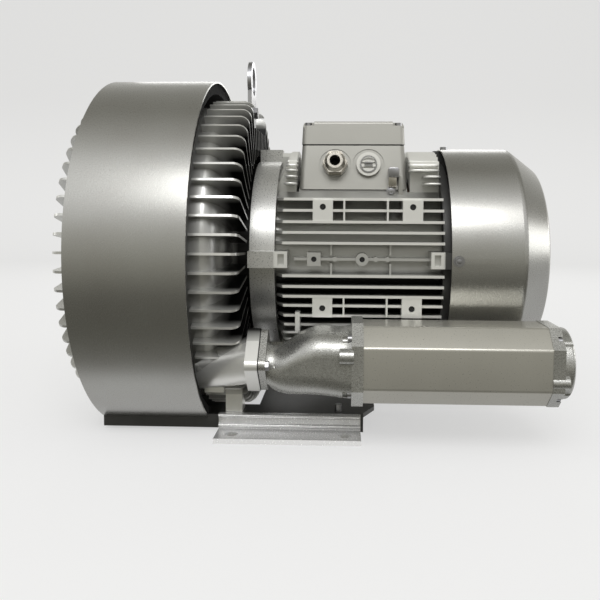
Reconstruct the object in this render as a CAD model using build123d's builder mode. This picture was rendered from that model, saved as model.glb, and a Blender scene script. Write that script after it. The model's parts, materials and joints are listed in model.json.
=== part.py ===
"""Two-stage side channel blower on its own flanged motor. Shaft along X, pump at -X, up is +Z."""
import os
from math import cos, pi, radians, sin, sqrt

from build123d import *

os.makedirs("parts", exist_ok=True)

# driving dimensions, mm
AXIS_H = 198.0             # shaft height above the floor
BOLT_X, BOLT_Y = 125.0, 257.0    # foot bolt pattern

IMP_X = (-182.0, -100.0)   # middle of the front and rear impeller
IMP_HALF = 18.0            # half width of an impeller at its rim
IMP_R = 158.0
CH_IN, CH_OUT, CH_HALF = 112.0, 162.0, 27.0    # side channel radii and half width
RUN_GAP = 0.4              # impeller to casing
DRUM_R, FIN_R = 179.0, 187.0
WALL_X = 36.0              # impeller middle to outer casing wall
FIN_END = 54.0             # impeller middle to fin ends
FIN_N, FIN_T = 60, 2.6
END_W, END_DROP = 22.0, 45.0   # rounded end of a drum, along and across the shaft
PORT_Y, PORT_Z, PORT_R = 154.0, -103.5, 20.0
PORT_FACE = -26.6          # mating face of the port flanges
CASE_BOLTS, CASE_BOLT_R, CASE_BOLT_A = 10, 170.5, 24.0

BAND_R, BAND_T, BAND_X0, BAND_X1 = 209.6, 2.0, -213.9, -93.0
BAND_END = 66.0            # band stops this far below the horizontal

SHIELD_R, SHIELD_X0, SHIELD_X1 = 113.5, -44.5, -16.7
FRAME_X1 = 169.3
BARREL_R, BORE_R = 97.0, 90.0
FRAME_ENV = 126.0
REAR_X1 = 178.0

BRG_BORE, BRG_OD, BRG_W = 20.0, 45.0, 23.0     # bearing radii and width
PITCH_R, BALL_R = 32.5, 7.5
BRG_X = (-42.0, 152.0)     # inboard faces of the two bearings

COVER_R, COVER_X0, COVER_X1, COVER_X2, COVER_NOSE = 129.0, 175.7, 255.3, 287.9, 104.0
SHEET = 1.5
COVER_SCREW_X = 183.0

BOX_X0, BOX_X1, BOX_Y = 7.0, 133.0, 62.0
BOX_Z0, BOX_SPLIT, BOX_TOP = 80.5, 129.4, 157.8
GLAND_X, PLUG_X, ENTRY_Z = 48.9, 87.8, 107.0

SIL_Y, SIL_Z, SIL_W, SIL_H = 152.0, -103.0, 82.0, 80.0
SIL_X0, SIL_X1, SIL_X2 = 80.3, 266.0, 290.5
ELBOW_X1 = 68.5

RAIL_LEN, RAIL_H, FOOT_T = 160.0, 22.0, 5.0
RAIL_IN, RAIL_OUT = 108.0, 146.0

SHAFT_AXIS = Axis((0, 0, AXIS_H), (1, 0, 0))


def cross(x, y=0, z=0):
    """plane normal to the shaft at x; local x is +Y, local y is +Z"""
    return Plane(origin=(x, y, AXIS_H + z), x_dir=(0, 1, 0), z_dir=(1, 0, 0))


def radial(angle):
    """plane holding the shaft axis; local x along the shaft, local y outward at this angle"""
    a = radians(angle)
    return Plane(origin=(0, 0, AXIS_H), x_dir=(1, 0, 0), z_dir=(0, -sin(a), cos(a)))


def outward(angle, r, x):
    """plane facing outward at radius r; local x along the shaft"""
    a = radians(angle)
    return Plane(origin=(x, r * cos(a), AXIS_H + r * sin(a)), x_dir=(1, 0, 0), z_dir=(0, cos(a), sin(a)))


PROFILE = radial(90)


def save(piece, name):
    piece.part.label = name
    export_step(piece.part, "parts/" + name + ".step")


# side channel casings: drum, fins and channel are the same on both ends, mirrored
def drum(mid, side):
    """half a casing drum, solid, from the impeller middle out to its end wall"""
    wall = mid + side * WALL_X
    with BuildPart() as body:
        with BuildSketch(PROFILE):
            with BuildLine():
                Polyline((wall, DRUM_R - END_DROP), (wall, 0), (mid, 0), (mid, DRUM_R), (wall - side * END_W, DRUM_R))
                EllipticalCenterArc((wall - side * END_W, DRUM_R - END_DROP), END_W, END_DROP,
                                    start_angle=90, arc_size=-90 * side)
            make_face()
        revolve(axis=SHAFT_AXIS)
    return body.part


def casing_fins(mid, side):
    """the ring of thin radial fins over the drum and down the end wall"""
    end = mid + side * FIN_END
    start = mid + side * 4
    with BuildPart() as fins:
        with BuildSketch(*[radial(3 + k * 360 / FIN_N) for k in range(FIN_N)]):
            with BuildLine():
                FilletPolyline((start, FIN_R), (end, FIN_R), (end, 121), radius=10)
                Polyline((end, 121), (end - side * 20, 121), (end - side * 20, 150), (start, 174), (start, FIN_R))
            make_face()
        extrude(amount=FIN_T / 2, both=True)
    return fins.part


def channel(mid, x0, x1, start, sweep):
    """impeller room and side channel between the planes x0 and x1, as a solid to cut away"""
    room = IMP_HALF + RUN_GAP
    with BuildPart() as space:
        with BuildSketch(PROFILE):
            with Locations((mid, (IMP_R + RUN_GAP) / 2)):
                Rectangle(2 * room, IMP_R + RUN_GAP)
            with Locations(((x0 + x1) / 2, 100)):
                Rectangle(x1 - x0, 220, mode=Mode.INTERSECT)
        revolve(axis=SHAFT_AXIS)
        with BuildSketch(radial(start)):
            with Locations((mid, (CH_IN + CH_OUT) / 2)):
                RectangleRounded(2 * CH_HALF, CH_OUT - CH_IN, 20)
            with Locations(((x0 + x1) / 2, 100)):
                Rectangle(x1 - x0, 220, mode=Mode.INTERSECT)
        revolve(axis=SHAFT_AXIS, revolution_arc=sweep)
    return space.part


def hex_bolt(across, head, shank_r, length, washer_r=0.0):
    """hex head screw; the seat is at the origin and the shank runs down"""
    with BuildPart() as bolt:
        with BuildSketch():
            RegularPolygon(across / sqrt(3), 6)
        extrude(amount=head)
        chamfer(bolt.faces().sort_by(Axis.Z)[-1].edges(), length=0.6)
        with BuildSketch():
            Circle(shank_r)
        extrude(amount=-length)
        if washer_r:
            with BuildSketch():
                Circle(washer_r)
            extrude(amount=0.8)
    return bolt.part


def socket_screw(head_r, head, shank_r, length, key):
    """socket head cap screw, seat at the origin"""
    with BuildPart() as bolt:
        with BuildSketch():
            Circle(head_r)
        extrude(amount=head)
        with BuildSketch(Plane.XY.offset(head)):
            RegularPolygon(key / sqrt(3), 6)
        extrude(amount=-head * 0.6, mode=Mode.SUBTRACT)
        with BuildSketch():
            Circle(shank_r)
        extrude(amount=-length)
    return bolt.part


def placed(piece, planes, name):
    """the same piece set on several planes, written as one group"""
    with BuildPart() as group:
        for plane in planes:
            add(piece.moved(plane.location))
    save(group, name)


def port_side(side):
    """centre of a port in the Y-Z plane, side +1 or -1"""
    return side * PORT_Y, PORT_Z


CASE_ANGLES = [CASE_BOLT_A + k * 360 / CASE_BOLTS for k in range(CASE_BOLTS)]
LANTERN = (52.0, 94.0)     # recess behind the motor flange, radii
REAR_START, REAR_SWEEP = 251, 331        # where each channel starts and how far it runs, degrees
FRONT_START, FRONT_SWEEP = -42, 307
SPIGOT_R, FLANGE_T, FLANGE_W, FLANGE_FILLET = 105.0, 13.0, 52.0, 8.0
DUCT_A, DUCT_R = -36, 184.0               # inlet duct beside the channels: angle and radius
DUCT_IN, DUCT_OUT = (30, 50, 9), (38, 58, 13)    # its bore and outside: depth, width, corner
M6_HOLE, M8_HOLE, M8_CLEAR = 3.1, 4.1, 4.4
BRACKETS = (-8, 50, 114, 186)            # angles of the band brackets, clear of the casing bolts
FLANGE_BOLT_R = 100.0
PORT_BOLT_R = 27.5
LEG_X0, LEG_X1, LEG_Y0, LEG_Y1 = -73.0, -54.0, 82.0, 103.0
PLATE_T = 5.0

LUG_X0, LUG_T, LUG_PLATE_W, LUG_SCREW_Z = -59.0, 5.0, 48.0, 174.0

# rear casing: motor side half of the second stage, with both port flanges and the legs
rear_mid = IMP_X[1]
LEG_MID = ((LEG_X0 + LEG_X1) / 2, (LEG_Y0 + LEG_Y1) / 2)
rear_drum = drum(rear_mid, 1)
rear_fins = casing_fins(rear_mid, 1)
rear_channel = channel(rear_mid, rear_mid, rear_mid + WALL_X, REAR_START, REAR_SWEEP)
# the outlet duct rises out of the drum, the inlet duct passes outside the channel
DUCT_X = PORT_FACE - FLANGE_T + 1


def port_duct(side, grow):
    """duct from a port flange back to the parting plane; grow is the wall thickness or 0"""
    with BuildPart() as body:
        with BuildSketch(cross(DUCT_X, side * PORT_Y, PORT_Z)):
            RectangleRounded(38 + 2 * grow, 38 + 2 * grow, 17 + grow, rotation=DUCT_A if side > 0 else 0)
        with BuildSketch(cross(rear_mid)):
            if side < 0:
                with Locations((-116, -121)):
                    RectangleRounded(36 + 2 * grow, 36 + 2 * grow, 16 + grow)
            else:
                with PolarLocations(DUCT_R, 1, start_angle=DUCT_A):
                    RectangleRounded(DUCT_IN[0] + 2 * grow, DUCT_IN[1] + 2 * grow, DUCT_IN[2] + grow)
        loft()
    return body.part


outlet_duct = port_duct(-1, 6)
inlet_duct = port_duct(1, 4)
outlet_bore = port_duct(-1, 0)
inlet_bore = port_duct(1, 0)
with BuildPart() as rear_body:
    add(rear_drum)
    with BuildSketch(cross(rear_mid + WALL_X)):
        Circle(SPIGOT_R)
    extrude(amount=SHIELD_X0 - rear_mid - WALL_X)
    # port ducts and their diamond flanges
    add(outlet_duct)
    add(inlet_duct)
    with BuildSketch(cross(PORT_FACE - FLANGE_T)):
        with Locations(*[port_side(s) for s in (-1, 1)]):
            RectangleRounded(FLANGE_W, FLANGE_W, FLANGE_FILLET, rotation=45)
    extrude(amount=FLANGE_T)
    # legs on the base plate and the side lugs
    with BuildSketch(Plane.XY.offset(RAIL_H)):
        with Locations(*[(LEG_MID[0], s * LEG_MID[1]) for s in (-1, 1)]):
            Rectangle(LEG_X1 - LEG_X0, LEG_Y1 - LEG_Y0)
    extrude(amount=84)
    with BuildSketch(Plane.XY.offset(AXIS_H - 147)):
        with Locations(*[(-81.5, s * 112) for s in (-1, 1)]):
            Rectangle(21, 30)
    extrude(amount=6)
    # seat for the lifting lug on top
    with BuildSketch(Plane.XY.offset(AXIS_H + 150)):
        with Locations((LUG_X0 - 7, 0)):
            Rectangle(14, 34)
    extrude(amount=36)

with BuildPart() as rear_cuts:
    add(rear_channel)
    # hollow behind the motor flange, seal seat, shaft bore
    with BuildSketch(PROFILE):
        with Locations((-58.5, sum(LANTERN) / 2)):
            Rectangle(29, LANTERN[1] - LANTERN[0])
        with Locations((-50, 18)):
            Rectangle(12, 36)
        with Locations((-70, 14)):
            Rectangle(80, 28)
    revolve(axis=SHAFT_AXIS)
    # near port opens into this stage, the far one passes through to the first stage
    with BuildSketch(cross(PORT_FACE)):
        with Locations(*[port_side(s) for s in (-1, 1)]):
            Circle(PORT_R)
    extrude(amount=DUCT_X - 2 - PORT_FACE)
    add(outlet_bore)
    add(inlet_bore)
    with BuildSketch(outward(226, 150, rear_mid + 12)):
        Rectangle(24, 34)
    extrude(amount=20)
    # fins cleared in front of the lifting lug seat
    with BuildSketch(Plane.XY.offset(AXIS_H + 151)):
        with Locations((LUG_X0 + 8, 0)):
            Rectangle(16, 2 * LUG_PLATE_W)
    extrude(amount=40)
    # tapped holes
    with BuildSketch(cross(LUG_X0)):
        with Locations((0, LUG_SCREW_Z)):
            Circle(M8_HOLE)
    extrude(amount=-14)
    with BuildSketch(cross(rear_mid)):
        with PolarLocations(CASE_BOLT_R, CASE_BOLTS, start_angle=CASE_BOLT_A):
            Circle(M8_HOLE)
    extrude(amount=20)
    with BuildSketch(cross(SHIELD_X0)):
        with PolarLocations(FLANGE_BOLT_R, 4, start_angle=45):
            Circle(M8_HOLE)
    extrude(amount=-18)
    with BuildSketch(cross(PORT_FACE)):
        for s in (-1, 1):
            with Locations(port_side(s)):
                with PolarLocations(PORT_BOLT_R, 2):
                    Circle(M6_HOLE)
    extrude(amount=-11)
    with BuildSketch(Plane.XY.offset(RAIL_H)):
        with Locations(*[(LEG_MID[0], s * LEG_MID[1]) for s in (-1, 1)]):
            Circle(M8_HOLE)
    extrude(amount=16)

with BuildPart() as rear_casing:
    add(rear_body.part)
    add(rear_fins)
    add(rear_cuts.part, mode=Mode.SUBTRACT)
save(rear_casing, "rear_casing")

# centre casing: wall between the stages, with the transfer port
front_mid = IMP_X[0]
mid_x = sum(IMP_X) / 2
left_room = channel(front_mid, front_mid, mid_x, FRONT_START, FRONT_SWEEP)
right_room = channel(rear_mid, mid_x, rear_mid, REAR_START, REAR_SWEEP)
with BuildPart() as centre_casing:
    with BuildSketch(cross(front_mid)):
        Circle(DRUM_R)
        with PolarLocations(DUCT_R, 1, start_angle=DUCT_A):
            RectangleRounded(*DUCT_OUT)
    extrude(amount=rear_mid - front_mid)
    with BuildSketch(cross(front_mid)):
        Circle(29.3)
        with PolarLocations(DUCT_R, 1, start_angle=DUCT_A):
            RectangleRounded(*DUCT_IN)
        with PolarLocations(CASE_BOLT_R, CASE_BOLTS, start_angle=CASE_BOLT_A):
            Circle(M8_CLEAR)
    extrude(amount=rear_mid - front_mid, mode=Mode.SUBTRACT)
    add(left_room, mode=Mode.SUBTRACT)
    add(right_room, mode=Mode.SUBTRACT)
    # far port slot into the first stage
    with BuildSketch(outward(DUCT_A, 150, front_mid + 12)):
        Rectangle(24, 36)
    extrude(amount=40, mode=Mode.SUBTRACT)
    # transfer port at the end of the first channel and the start of the second
    with BuildSketch(cross(front_mid + 20)):
        with PolarLocations((CH_IN + CH_OUT) / 2, 1, start_angle=258):
            Rectangle(40, 26)
    extrude(amount=42, mode=Mode.SUBTRACT)
    with BuildSketch(*[outward(a, DRUM_R, mid_x) for a in BRACKETS]):
        Circle(M6_HOLE)
    extrude(amount=-12, mode=Mode.SUBTRACT)
save(centre_casing, "centre_casing")

# front casing
BOSS_X = front_mid - 34
front_drum = drum(front_mid, -1)
front_fins = casing_fins(front_mid, -1)
front_channel = channel(front_mid, front_mid - WALL_X, front_mid, FRONT_START, FRONT_SWEEP)
with BuildPart() as front_body:
    add(front_drum)
    with BuildSketch(cross(front_mid - 2)):
        with PolarLocations(CASE_BOLT_R, CASE_BOLTS, start_angle=CASE_BOLT_A):
            Circle(7.4)
    extrude(amount=BOSS_X - front_mid + 2)
    with BuildSketch(cross(front_mid)):
        with PolarLocations(DUCT_R, 1, start_angle=DUCT_A):
            RectangleRounded(*DUCT_OUT)
    extrude(amount=-14)
    with BuildSketch(cross(front_mid - WALL_X)):
        Circle(46)
    extrude(amount=-8)
with BuildPart() as front_cuts:
    add(front_channel)
    with BuildSketch(cross(front_mid)):
        with PolarLocations(DUCT_R, 1, start_angle=DUCT_A):
            RectangleRounded(*DUCT_IN)
    extrude(amount=-6)
    with BuildSketch(cross(front_mid)):
        Circle(30)
    extrude(amount=-35)
    with BuildSketch(cross(front_mid)):
        with PolarLocations(CASE_BOLT_R, CASE_BOLTS, start_angle=CASE_BOLT_A):
            Circle(M8_CLEAR)
    extrude(amount=-50)
with BuildPart() as front_casing:
    add(front_body.part)
    add(front_fins)
    add(front_cuts.part, mode=Mode.SUBTRACT)
save(front_casing, "front_casing")

bolt_planes = []
for a in CASE_ANGLES:
    seat = (BOSS_X, CASE_BOLT_R * cos(radians(a)), AXIS_H + CASE_BOLT_R * sin(radians(a)))
    bolt_planes.append(Plane(origin=seat, x_dir=(0, 1, 0), z_dir=(-1, 0, 0)))
placed(hex_bolt(13, 5.3, 4, rear_mid + 16 - BOSS_X, 7.2), bolt_planes, "casing_bolts")

# impellers: webbed disc with pockets of curved vanes on both faces
SHAFT_R = 19.0
VANES = 36


def impeller(mid):
    """one impeller: hub, web with lightening holes, rim and backward curved vanes"""
    with BuildSketch() as vane:
        with BuildLine():
            RadiusArc((109, 0), (156.5, 14), -70)
            Line((156.5, 14), (156.9, 16.2))
            RadiusArc((156.9, 16.2), (109, 2.4), 72)
            Line((109, 2.4), (109, 0))
        make_face()
    with BuildPart() as wheel:
        with BuildSketch(PROFILE):
            with Locations((mid, 36)):
                Rectangle(34, 34)
            with Locations((mid, 80)):
                Rectangle(8, 60)
            with Locations((mid, 107)):
                Rectangle(2 * IMP_HALF, 8)
            with Locations((mid, 134)):
                Rectangle(3, 2 * (IMP_R - 134))
        revolve(axis=SHAFT_AXIS)
        with BuildSketch(cross(mid - IMP_HALF)):
            with PolarLocations(0, VANES):
                add(vane.sketch)
        extrude(amount=2 * IMP_HALF)
        with BuildSketch(cross(mid)):
            with PolarLocations(78, 6):
                Circle(11)
        extrude(amount=10, both=True, mode=Mode.SUBTRACT)
        with BuildSketch(cross(mid)):
            with Locations((0, SHAFT_R)):
                Rectangle(10, 6.6)
        extrude(amount=20, both=True, mode=Mode.SUBTRACT)
    return wheel


impeller_front = impeller(front_mid)
save(impeller_front, "impeller_front")
impeller_rear = impeller(rear_mid)
save(impeller_rear, "impeller_rear")


# shaft and the parts stacked on it
def ring(x0, x1, r0, r1, name):
    with BuildPart() as piece:
        with BuildSketch(cross(x0)):
            Circle(r1)
            Circle(r0, mode=Mode.SUBTRACT)
        extrude(amount=x1 - x0)
    save(piece, name)


KEY = (10.0, 28.0, 8.0)
STACK_END = front_mid - 17
with BuildPart() as shaft:
    with BuildSketch(PROFILE):
        with BuildLine():
            Polyline((STACK_END + 2, 0), (STACK_END + 2, SHAFT_R), (BRG_X[0], SHAFT_R), (BRG_X[0], BRG_BORE),
                     (BRG_X[0] + BRG_W, BRG_BORE), (BRG_X[0] + BRG_W, 25), (BRG_X[1], 25),
                     (BRG_X[1], BRG_BORE), (BRG_X[1] + BRG_W, BRG_BORE), (BRG_X[1] + BRG_W + 1, 15),
                     (240, 15), (240, 0), (STACK_END + 2, 0))
        make_face()
    revolve(axis=SHAFT_AXIS)
    for mid in IMP_X:
        with BuildSketch(Plane.XY.offset(AXIS_H + 14)):
            with Locations((mid, 0)):
                Rectangle(KEY[1], KEY[0])
        extrude(amount=10, mode=Mode.SUBTRACT)
    with BuildSketch(cross(STACK_END + 2)):
        Circle(6)
    extrude(amount=34, mode=Mode.SUBTRACT)
    with BuildSketch(Plane.XY.offset(AXIS_H + 12.5)):
        with Locations((215, 0)):
            Rectangle(20, 6)
    extrude(amount=10, mode=Mode.SUBTRACT)
    with BuildSketch(PROFILE):
        with Locations((231.2, 15)):
            Rectangle(1.6, 1.6)
    revolve(axis=SHAFT_AXIS, mode=Mode.SUBTRACT)
    chamfer(shaft.faces().sort_by(Axis.X)[-1].edges(), length=1)
save(shaft, "shaft")

with BuildPart() as shaft_keys:
    for mid in IMP_X:
        with BuildSketch(Plane.XY.offset(AXIS_H + 14)):
            with Locations((mid, 0)):
                Rectangle(KEY[1], KEY[0])
        extrude(amount=KEY[2])
    with BuildSketch(Plane.XY.offset(AXIS_H + 12.5)):
        with Locations((215, 0)):
            Rectangle(20, 6)
    extrude(amount=5)
save(shaft_keys, "shaft_keys")

ring(front_mid + 17, rear_mid - 17, SHAFT_R, 29.0, "impeller_spacer")
ring(rear_mid + 17, BRG_X[0], SHAFT_R, 26.0, "seal_sleeve")
ring(STACK_END - 5, STACK_END, 6.5, 25.0, "end_washer")
end_plane = Plane(origin=(STACK_END - 5, 0, AXIS_H), x_dir=(0, 1, 0), z_dir=(-1, 0, 0))
placed(hex_bolt(19, 7.5, 6, 34), [end_plane], "impeller_bolt")

with BuildPart() as shaft_seal:
    with BuildSketch(PROFILE):
        with BuildLine():
            Polyline((-56, 36), (-56, 31), (-52, 26.05), (-50, 26.05), (-50, 31), (-46, 31), (-46, 36), (-56, 36))
        make_face()
    revolve(axis=SHAFT_AXIS)
save(shaft_seal, "shaft_seal")


# deep groove ball bearings
def bearing(x0, name):
    mid = x0 + BRG_W / 2
    with BuildPart() as inner:
        with BuildSketch(PROFILE):
            with Locations((mid, (BRG_BORE + 28.5) / 2)):
                Rectangle(BRG_W, 28.5 - BRG_BORE)
            with Locations((mid, PITCH_R)):
                Circle(BALL_R + 0.05, mode=Mode.SUBTRACT)
        revolve(axis=SHAFT_AXIS)
    save(inner, name + "_inner_ring")
    with BuildPart() as outer:
        with BuildSketch(PROFILE):
            with Locations((mid, (BRG_OD + 36.5) / 2)):
                Rectangle(BRG_W, BRG_OD - 36.5)
            with Locations((mid, PITCH_R)):
                Circle(BALL_R + 0.05, mode=Mode.SUBTRACT)
        revolve(axis=SHAFT_AXIS)
    save(outer, name + "_outer_ring")
    with BuildPart() as cage:
        with BuildSketch(cross(mid)):
            Circle(34.5)
            Circle(30.5, mode=Mode.SUBTRACT)
        extrude(amount=9, both=True)
        with BuildSketch(*[outward(k * 45, 25, mid) for k in range(8)]):
            Circle(BALL_R + 0.2)
        extrude(amount=15, mode=Mode.SUBTRACT)
        with Locations(*[cross(mid, PITCH_R * cos(k * pi / 4), PITCH_R * sin(k * pi / 4)).location
                         for k in range(8)]):
            Sphere(BALL_R)
    save(cage, name + "_cage_balls")


bearing(BRG_X[0], "drive_bearing")
bearing(BRG_X[1], "fan_bearing")

# motor: drive end shield with four box lugs
LUG_W, LUG_R = 18.0, 128.0
LUG_BOLT_R = 112.0
with BuildPart() as drive_shield:
    with BuildSketch(cross(SHIELD_X0)):
        Circle(SHIELD_R)
    extrude(amount=SHIELD_X1 - SHIELD_X0)
    with BuildSketch(cross(SHIELD_X0)):
        with PolarLocations((LUG_R + 90) / 2, 4):
            Rectangle(LUG_R - 90, LUG_W)
    extrude(amount=SHIELD_X1 - SHIELD_X0)
    with BuildSketch(cross(SHIELD_X1)):
        Circle(BORE_R)
        Circle(BORE_R - 8, mode=Mode.SUBTRACT)
    extrude(amount=6)
    with BuildSketch(PROFILE):
        with Locations((-24, 66)):
            Rectangle(20, 28)
    revolve(axis=SHAFT_AXIS, mode=Mode.SUBTRACT)
    with BuildSketch(cross(BRG_X[0])):
        Circle(BRG_OD)
    extrude(amount=40, mode=Mode.SUBTRACT)
    with BuildSketch(cross(SHIELD_X0)):
        Circle(28)
    extrude(amount=10, mode=Mode.SUBTRACT)
    # screws into the casing, counterbored from the motor side
    with BuildSketch(cross(SHIELD_X0)):
        with PolarLocations(FLANGE_BOLT_R, 4, start_angle=45):
            Circle(4.4)
    extrude(amount=60, mode=Mode.SUBTRACT)
    with BuildSketch(cross(SHIELD_X1)):
        with PolarLocations(FLANGE_BOLT_R, 4, start_angle=45):
            Circle(7.2)
    extrude(amount=-9, mode=Mode.SUBTRACT)
    # screws into the frame, sunk in the lugs
    with BuildSketch(cross(SHIELD_X0)):
        with PolarLocations(LUG_BOLT_R, 4):
            Circle(3.4)
    extrude(amount=60, mode=Mode.SUBTRACT)
    with BuildSketch(cross(SHIELD_X0)):
        with PolarLocations(LUG_BOLT_R, 4):
            Circle(5.6)
    extrude(amount=16, mode=Mode.SUBTRACT)
save(drive_shield, "drive_end_shield")

flange_planes = [Plane(origin=(SHIELD_X1 - 9, FLANGE_BOLT_R * cos(radians(a)), AXIS_H + FLANGE_BOLT_R * sin(radians(a))),
                       x_dir=(0, 1, 0), z_dir=(1, 0, 0)) for a in (45, 135, 225, 315)]
placed(socket_screw(6.5, 8, 4, 34, 6), flange_planes, "flange_screws")
lug_planes = [Plane(origin=(SHIELD_X0 + 16, LUG_BOLT_R * cos(radians(a)), AXIS_H + LUG_BOLT_R * sin(radians(a))),
                    x_dir=(0, 1, 0), z_dir=(-1, 0, 0)) for a in (0, 90, 180, 270)]

# motor frame: finned barrel
FIN_W = 3.0
SIDE_FINS = (66, 53.5, 41, 29.5, 18, -18, -30, -41.3, -52.1, -64.4, -76)
TOP_FINS = (0, 12, 24, 36, 48, 60)
PAD_X, PAD_Y = (36.5, 135.0), 113.0
PADS = ((53.5, 57.5), (-53.0, -54.5))     # height of each pad row and of its holes
RIB_X = (60.0, 107.6)      # ribs across the pad rows
FRAME_SIDE = 115.0


def fin_height(offset, tip):
    """plane-parallel fin: centre height and length between the barrel and the envelope"""
    low = sqrt((BARREL_R - 3) ** 2 - offset ** 2)
    high = sqrt(tip ** 2 - offset ** 2)
    return (low + high) / 2, high - low


with BuildPart() as motor_frame:
    with BuildSketch(cross(SHIELD_X1)):
        Circle(BARREL_R)
        for z in SIDE_FINS:
            middle, length = fin_height(z, FRAME_SIDE + 6)
            with Locations((middle, z), (-middle, z)):
                Rectangle(length, FIN_W)
        for y in TOP_FINS:
            middle, length = fin_height(y, FRAME_ENV)
            for flip in ((1, -1) if y else (1,)):
                with Locations((flip * y, middle), (flip * y, -middle)):
                    Rectangle(FIN_W, length)
    extrude(amount=FRAME_X1 - SHIELD_X1)
    # fins start low beside the drive end shield
    with BuildSketch(PROFILE):
        with BuildLine():
            Polyline((SHIELD_X1 - 1, 103), (SHIELD_X1 - 1, 132), (-1, 132), (SHIELD_X1 - 1, 103))
        make_face()
    revolve(axis=SHAFT_AXIS, mode=Mode.SUBTRACT)
    # side strips with one rib, a square and a round boss, and pads standing in the fins
    for flip in (-1, 1):
        with BuildSketch(Plane(origin=(0, flip * 92, AXIS_H), x_dir=(1, 0, 0), z_dir=(0, flip, 0))):
            with Locations((83, 0)):
                Rectangle(156, 3)
            with Locations((50, 0), (95, 0), (108, 0)):
                Circle(2.8)
            with Locations((46, 11), (46, -11), (111, 11), (111, -11)):
                Rectangle(2, 13)
        extrude(amount=20)
        with BuildSketch(Plane(origin=(0, flip * 90, AXIS_H), x_dir=(1, 0, 0), z_dir=(0, flip, 0))):
            with Locations((27, 0)):
                Rectangle(15, 15)
            with Locations((80, 0)):
                Circle(7)
        extrude(amount=25)
        with BuildSketch(Plane(origin=(0, flip * 70, AXIS_H), x_dir=(1, 0, 0), z_dir=(0, flip, 0))):
            with Locations(*[(x, -flip * z) for x in PAD_X for z, hole in PADS]):
                Rectangle(22, 23)
            with Locations(*[(x, -flip * z) for x in RIB_X for z, hole in PADS]):
                Rectangle(2, 22)
            with Locations((9, flip * 70)):
                Rectangle(5, 22)
        extrude(amount=PAD_Y - 70)
        with BuildSketch(Plane(origin=(0, flip * (PAD_Y + 2), AXIS_H), x_dir=(1, 0, 0), z_dir=(0, flip, 0))):
            with Locations(*[(x, -flip * hole) for x in PAD_X for z, hole in PADS]):
                Circle(3.4)
            with Locations((27, 0), (80, 0)):
                Circle(3)
        extrude(amount=-16, mode=Mode.SUBTRACT)
    # lugs at both ends for the shield screws
    for x0, amount in ((SHIELD_X1, 15), (FRAME_X1, -15)):
        with BuildSketch(cross(x0)):
            with PolarLocations((LUG_R + 90) / 2 - 2, 4):
                Rectangle(LUG_R - 90 - 4, LUG_W)
        extrude(amount=amount)
    with BuildSketch(*[outward(a, LUG_R - 4, x) for a in (0, 90, 180, 270) for x in (SHIELD_X1 + 8, FRAME_X1 - 8)]):
        Rectangle(7, 12)
    extrude(amount=-5, mode=Mode.SUBTRACT)
    # room and saddle for the terminal box
    with BuildSketch(Plane.XY.offset(AXIS_H + 75)):
        with Locations(((BOX_X0 + BOX_X1) / 2, 0)):
            Rectangle(BOX_X1 - BOX_X0 + 6, 2 * BOX_Y + 6)
    extrude(amount=60, mode=Mode.SUBTRACT)
    with BuildSketch(cross(BOX_X0)):
        Circle(BARREL_R + 1)
    extrude(amount=BOX_X1 - BOX_X0)
    with BuildSketch(cross(SHIELD_X1 - 1)):
        Circle(BORE_R)
    extrude(amount=FRAME_X1 - SHIELD_X1 + 2, mode=Mode.SUBTRACT)
    with BuildSketch(Plane.XY.offset(AXIS_H + 80)):
        with Locations((70, 0)):
            Circle(16)
        with Locations(*[(x, y) for x in (25, 115) for y in (-30, 30)]):
            Circle(2.6)
    extrude(amount=40, mode=Mode.SUBTRACT)
    with BuildSketch(cross(SHIELD_X1)):
        with PolarLocations(LUG_BOLT_R, 4):
            Circle(3.1)
    extrude(amount=14, mode=Mode.SUBTRACT)
    with BuildSketch(cross(FRAME_X1)):
        with PolarLocations(LUG_BOLT_R, 4):
            Circle(3.1)
    extrude(amount=-14, mode=Mode.SUBTRACT)
save(motor_frame, "motor_frame")

# electrical stack
CORE_X0, CORE_X1, GAP_R = 28.0, 132.0, 62.0
with BuildPart() as stator_core:
    with BuildSketch(cross(CORE_X0)):
        Circle(BORE_R)
        Circle(GAP_R + 0.5, mode=Mode.SUBTRACT)
        with PolarLocations(75, 24):
            RectangleRounded(18, 6, 2.5, mode=Mode.SUBTRACT)
    extrude(amount=CORE_X1 - CORE_X0)
save(stator_core, "stator_core")
with BuildPart() as windings:
    with BuildSketch(cross(CORE_X0)):
        with PolarLocations(75, 24):
            RectangleRounded(17.4, 5.4, 2.2)
    extrude(amount=CORE_X1 - CORE_X0)
    for x0, amount in ((CORE_X0, -22), (CORE_X1, 18)):
        with BuildSketch(cross(x0)):
            Circle(85)
            Circle(65, mode=Mode.SUBTRACT)
        extrude(amount=amount)
save(windings, "stator_windings")
with BuildPart() as rotor_core:
    with BuildSketch(cross(CORE_X0)):
        Circle(GAP_R)
    extrude(amount=CORE_X1 - CORE_X0)
    for x0, amount in ((CORE_X0, -8), (CORE_X1, 8)):
        with BuildSketch(cross(x0)):
            Circle(58)
            Circle(38, mode=Mode.SUBTRACT)
        extrude(amount=amount)
    with BuildSketch(cross(CORE_X0 - 1)):
        Circle(25)
        with PolarLocations(31, 6):
            Circle(4)
    extrude(amount=CORE_X1 - CORE_X0 + 2, mode=Mode.SUBTRACT)
save(rotor_core, "rotor_core")

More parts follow.
